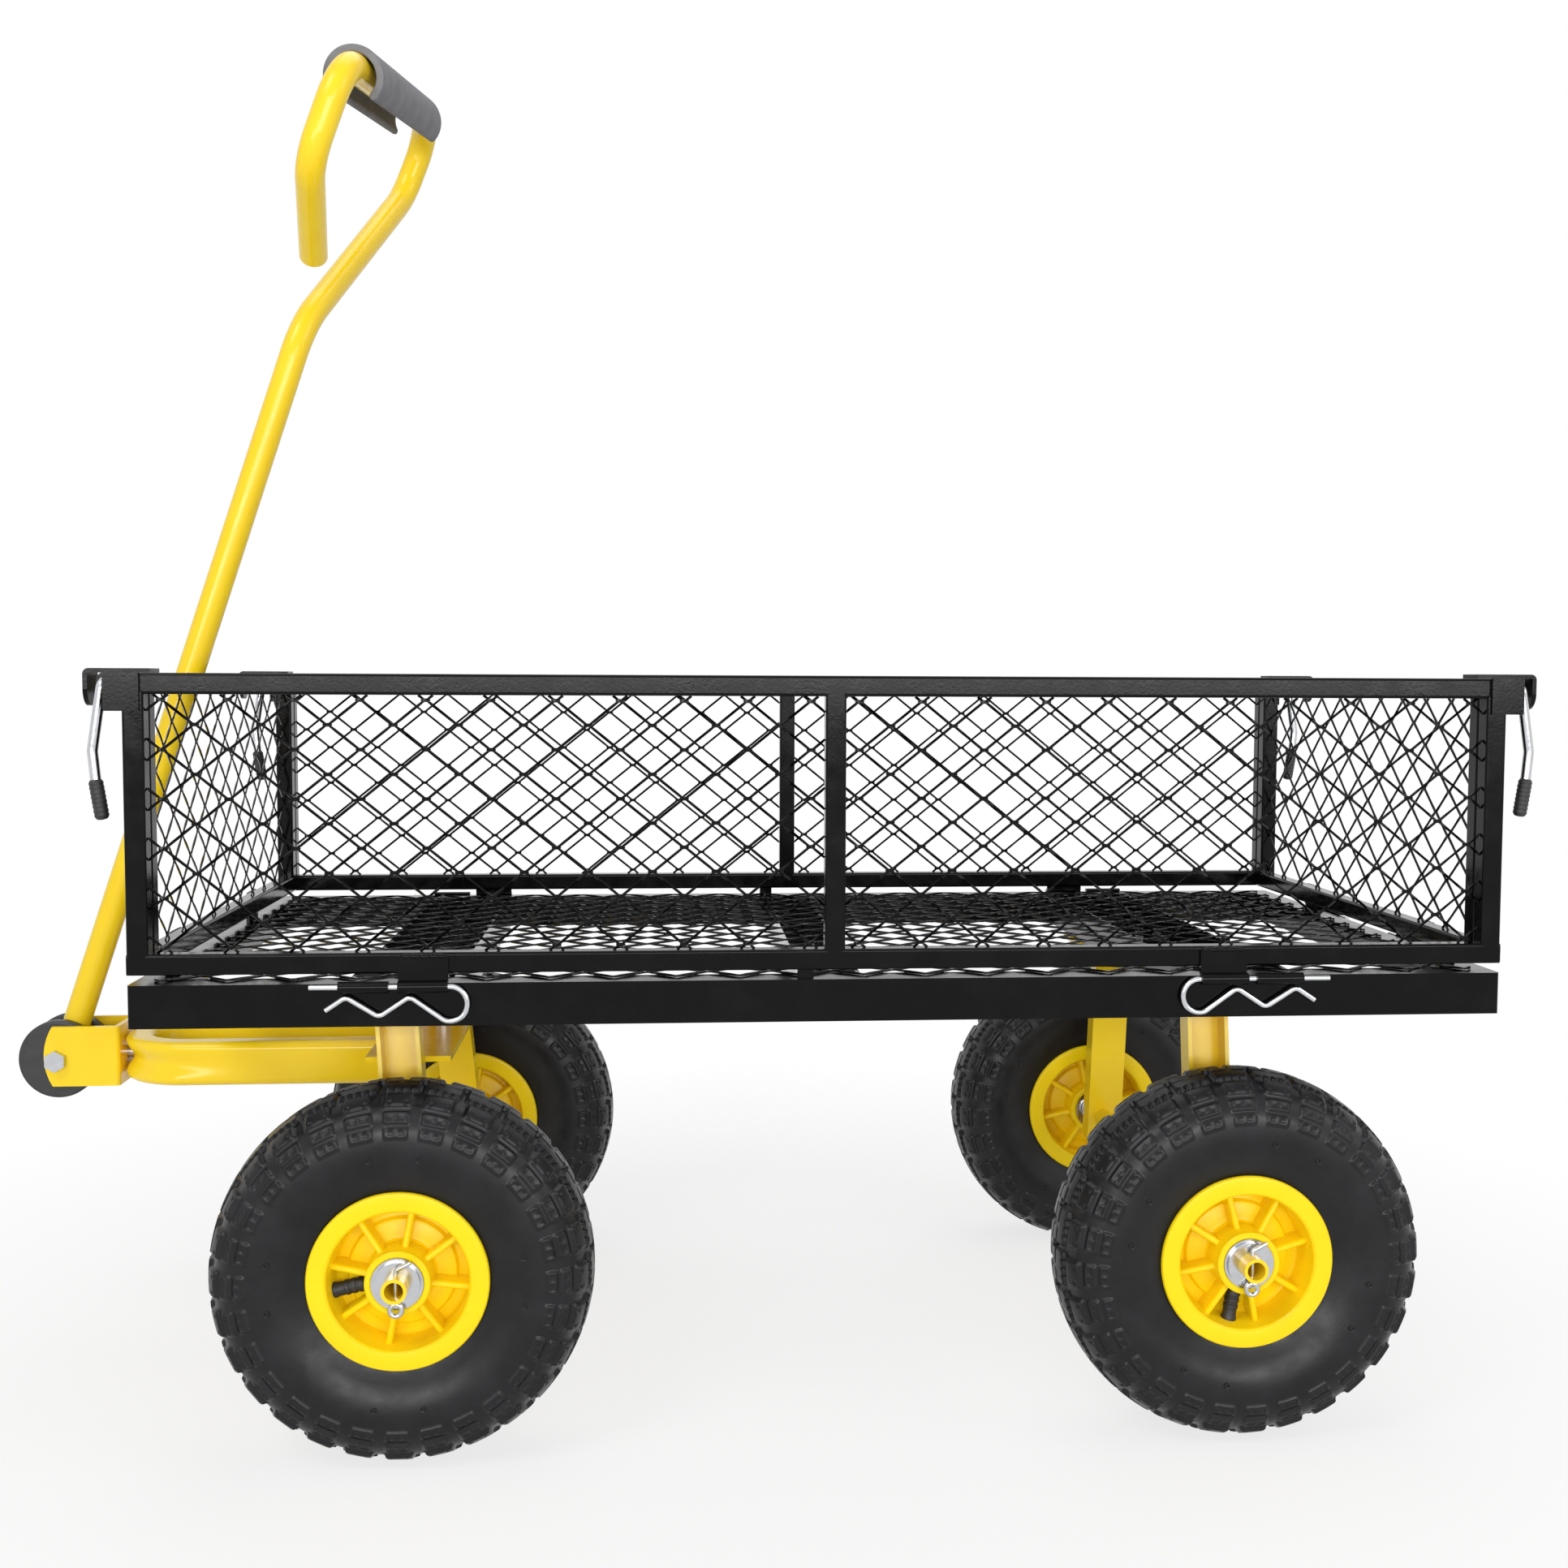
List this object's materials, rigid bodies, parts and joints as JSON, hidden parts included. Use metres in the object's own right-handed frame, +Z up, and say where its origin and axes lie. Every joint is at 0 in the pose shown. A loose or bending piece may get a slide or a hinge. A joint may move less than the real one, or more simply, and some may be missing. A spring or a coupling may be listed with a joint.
{
  "type": "garden cart",
  "caption": "Steel mesh garden cart with fold-down panels on pin hinges, corner latch levers, air tyres on a steered front axle and a tall pull handle with a foam grip.",
  "frame": {"origin": "on the ground, at the centre of the cart's footprint box", "axes": "+X toward the tail, -X toward the pull handle, +Y to the cart's right side, +Z up"},
  "size_m": [1.12, 0.55, 1.0202],
  "materials": {
    "black_paint": "semi-gloss black powder coat",
    "yellow_paint": "gloss yellow powder coat",
    "yellow_plastic": "moulded yellow plastic",
    "zinc": "zinc-plated steel",
    "tyre_rubber": "matte black rubber",
    "inner_rubber": "butyl rubber",
    "bearing_grey": "shielded steel bearing",
    "dark_plastic": "dark grey moulded plastic",
    "black_plastic": "ribbed black plastic",
    "foam": "closed-cell foam"
  },
  "bodies": {
    "cart_bed": {"bed_frame": "black_paint", "floor_mesh": "black_paint", "bed_cross_members": "black_paint", "bed_hinge_barrels": "black_paint", "front_panel_frame": "black_paint", "front_panel_mesh": "black_paint", "rear_axle": "yellow_paint", "rear_struts": "yellow_paint", "rear_axle_hardware": "zinc", "chassis_bolts": "zinc", "kingpin": "zinc"},
    "front_steering": {"front_axle": "yellow_paint", "front_struts": "yellow_paint", "front_axle_hardware": "zinc", "steering_plates": "yellow_paint", "drawbar_yoke": "yellow_paint", "handle_clevis": "yellow_paint", "clevis_bolts": "zinc"},
    "pull_handle": {"handle_tube": "yellow_paint", "handle_discs": "dark_plastic", "foam_grip": "foam"},
    "front_left_wheel": {"tyre_front_left": "tyre_rubber", "wheel_rim_front_left": "yellow_plastic", "inner_tube_front_left": "inner_rubber", "wheel_bearings_front_left": "bearing_grey"},
    "front_right_wheel": {"tyre_front_right": "tyre_rubber", "wheel_rim_front_right": "yellow_plastic", "inner_tube_front_right": "inner_rubber", "wheel_bearings_front_right": "bearing_grey"},
    "rear_left_wheel": {"tyre_rear_left": "tyre_rubber", "wheel_rim_rear_left": "yellow_plastic", "inner_tube_rear_left": "inner_rubber", "wheel_bearings_rear_left": "bearing_grey"},
    "rear_right_wheel": {"tyre_rear_right": "tyre_rubber", "wheel_rim_rear_right": "yellow_plastic", "inner_tube_rear_right": "inner_rubber", "wheel_bearings_rear_right": "bearing_grey"},
    "left_panel": {"left_panel_frame": "black_paint", "left_panel_mesh": "black_paint"},
    "right_panel": {"right_panel_frame": "black_paint", "right_panel_mesh": "black_paint"},
    "rear_panel": {"rear_panel_frame": "black_paint", "rear_panel_mesh": "black_paint"},
    "clip_left_front": {"spring_clip_left_front": "zinc"},
    "clip_left_rear": {"spring_clip_left_rear": "zinc"},
    "clip_right_front": {"spring_clip_right_front": "zinc"},
    "clip_right_rear": {"spring_clip_right_rear": "zinc"},
    "clip_front_left": {"spring_clip_front_left": "zinc"},
    "clip_front_right": {"spring_clip_front_right": "zinc"},
    "clip_rear_left": {"spring_clip_rear_left": "zinc"},
    "clip_rear_right": {"spring_clip_rear_right": "zinc"},
    "lever_front_left": {"latch_lever_front_left": "zinc", "lever_grip_front_left": "black_plastic"},
    "lever_front_right": {"latch_lever_front_right": "zinc", "lever_grip_front_right": "black_plastic"},
    "lever_rear_left": {"latch_lever_rear_left": "zinc", "lever_grip_rear_left": "black_plastic"},
    "lever_rear_right": {"latch_lever_rear_right": "zinc", "lever_grip_rear_right": "black_plastic"}
  },
  "joints": [
    {"name": "steering", "type": "hinge", "parent": "cart_bed", "child": "front_steering", "pos_m": [-0.2335, 0, 0.2987], "axis": [0, 0, 1], "range_deg": [-15, 15]},
    {"name": "handle_pivot", "type": "hinge", "parent": "front_steering", "child": "pull_handle", "pos_m": [-0.5295, 0, 0.234], "axis": [0, -1, 0], "range_deg": [0, 120]},
    {"name": "front_left_wheel_spin", "type": "hinge", "parent": "front_steering", "child": "front_left_wheel", "pos_m": [-0.2335, -0.222, 0.13], "axis": [0, 1, 0], "continuous": true},
    {"name": "front_right_wheel_spin", "type": "hinge", "parent": "front_steering", "child": "front_right_wheel", "pos_m": [-0.2335, 0.222, 0.13], "axis": [0, 1, 0], "continuous": true},
    {"name": "rear_left_wheel_spin", "type": "hinge", "parent": "cart_bed", "child": "rear_left_wheel", "pos_m": [0.349, -0.222, 0.13], "axis": [0, 1, 0], "continuous": true},
    {"name": "rear_right_wheel_spin", "type": "hinge", "parent": "cart_bed", "child": "rear_right_wheel", "pos_m": [0.349, 0.222, 0.13], "axis": [0, 1, 0], "continuous": true},
    {"name": "left_panel_fold", "type": "hinge", "parent": "cart_bed", "child": "left_panel", "pos_m": [0.0605, -0.2493, 0.3283], "axis": [1, 0, 0], "range_deg": [0, 150]},
    {"name": "right_panel_fold", "type": "hinge", "parent": "cart_bed", "child": "right_panel", "pos_m": [0.0605, 0.2493, 0.3283], "axis": [-1, 0, 0], "range_deg": [0, 150]},
    {"name": "rear_panel_fold", "type": "hinge", "parent": "cart_bed", "child": "rear_panel", "pos_m": [0.5348, 0, 0.3283], "axis": [0, 1, 0], "range_deg": [0, 150]},
    {"name": "clip_left_front_pull", "type": "slide", "parent": "cart_bed", "child": "clip_left_front", "axis": [1, 0, 0], "range_m": [0, 0.095]},
    {"name": "clip_left_rear_pull", "type": "slide", "parent": "cart_bed", "child": "clip_left_rear", "axis": [-1, 0, 0], "range_m": [0, 0.095]},
    {"name": "clip_right_front_pull", "type": "slide", "parent": "cart_bed", "child": "clip_right_front", "axis": [1, 0, 0], "range_m": [0, 0.095]},
    {"name": "clip_right_rear_pull", "type": "slide", "parent": "cart_bed", "child": "clip_right_rear", "axis": [-1, 0, 0], "range_m": [0, 0.095]},
    {"name": "clip_front_left_pull", "type": "slide", "parent": "cart_bed", "child": "clip_front_left", "axis": [0, -1, 0], "range_m": [0, 0.095]},
    {"name": "clip_front_right_pull", "type": "slide", "parent": "cart_bed", "child": "clip_front_right", "axis": [0, 1, 0], "range_m": [0, 0.095]},
    {"name": "clip_rear_left_pull", "type": "slide", "parent": "cart_bed", "child": "clip_rear_left", "axis": [0, -1, 0], "range_m": [0, 0.095]},
    {"name": "clip_rear_right_pull", "type": "slide", "parent": "cart_bed", "child": "clip_rear_right", "axis": [0, 1, 0], "range_m": [0, 0.095]},
    {"name": "lever_front_left_swing", "type": "hinge", "parent": "cart_bed", "child": "lever_front_left", "pos_m": [-0.4245, -0.2165, 0.531], "axis": [0, 1, 0], "range_deg": [0, 120]},
    {"name": "lever_front_right_swing", "type": "hinge", "parent": "cart_bed", "child": "lever_front_right", "pos_m": [-0.4245, 0.2165, 0.531], "axis": [0, 1, 0], "range_deg": [0, 120]},
    {"name": "lever_rear_left_swing", "type": "hinge", "parent": "rear_panel", "child": "lever_rear_left", "pos_m": [0.5455, -0.2165, 0.531], "axis": [0, -1, 0], "range_deg": [0, 120]},
    {"name": "lever_rear_right_swing", "type": "hinge", "parent": "rear_panel", "child": "lever_rear_right", "pos_m": [0.5455, 0.2165, 0.531], "axis": [0, -1, 0], "range_deg": [0, 120]}
  ]
}
